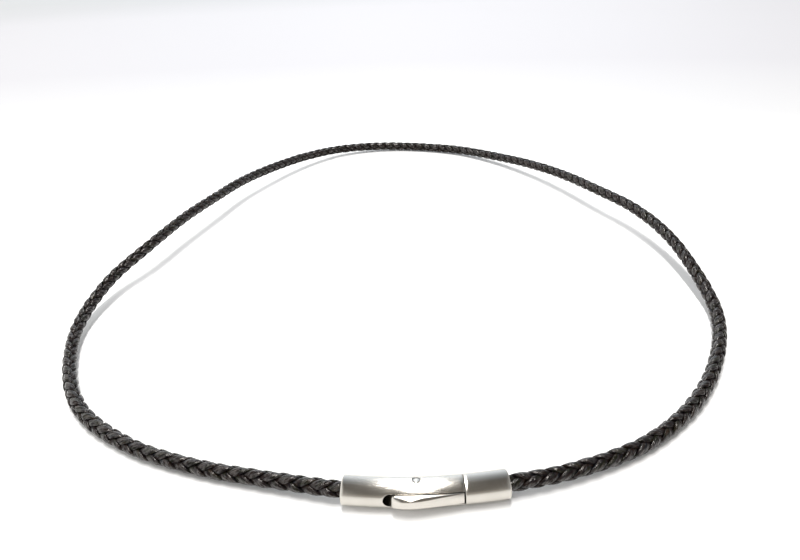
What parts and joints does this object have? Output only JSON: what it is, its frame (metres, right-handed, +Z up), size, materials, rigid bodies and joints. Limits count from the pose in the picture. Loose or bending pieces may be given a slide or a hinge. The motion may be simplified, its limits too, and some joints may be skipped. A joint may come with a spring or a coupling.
{
  "type": "braided leather necklace",
  "caption": "Round braided leather cord necklace in a closed loop, with a curved steel clasp that a hooked thumb lever locks.",
  "frame": {"origin": "under the middle of the clasp, on the surface the necklace lies on", "axes": "+X along the clasp from its long housing to its short plug, +Y across the loop from the clasp to the back of the neck, +Z up"},
  "size_m": [0.151, 0.1757, 0.0096],
  "materials": {
    "leather": "black braided leather, semi-matt with soft highlights on each strand",
    "steel": "satin stainless steel with fine brushing along the tube",
    "lever_steel": "satin stainless steel with fine brushing along the lever"
  },
  "bodies": {
    "necklace": {"braided_cord": "leather", "clasp_housing": "steel", "pivot_pin": "steel", "clasp_plug": "steel"},
    "lever": {"clasp_lever": "lever_steel"}
  },
  "joints": [
    {"name": "lever_press", "type": "hinge", "parent": "necklace", "child": "lever", "pos_m": [-0.00145, -0.00028, 0.00256], "axis": [-0.0033, -0.2079, -0.9781], "range_deg": [0, 12], "stiffness_Nm_per_rad": 0.03, "springref_deg": -5.73}
  ]
}
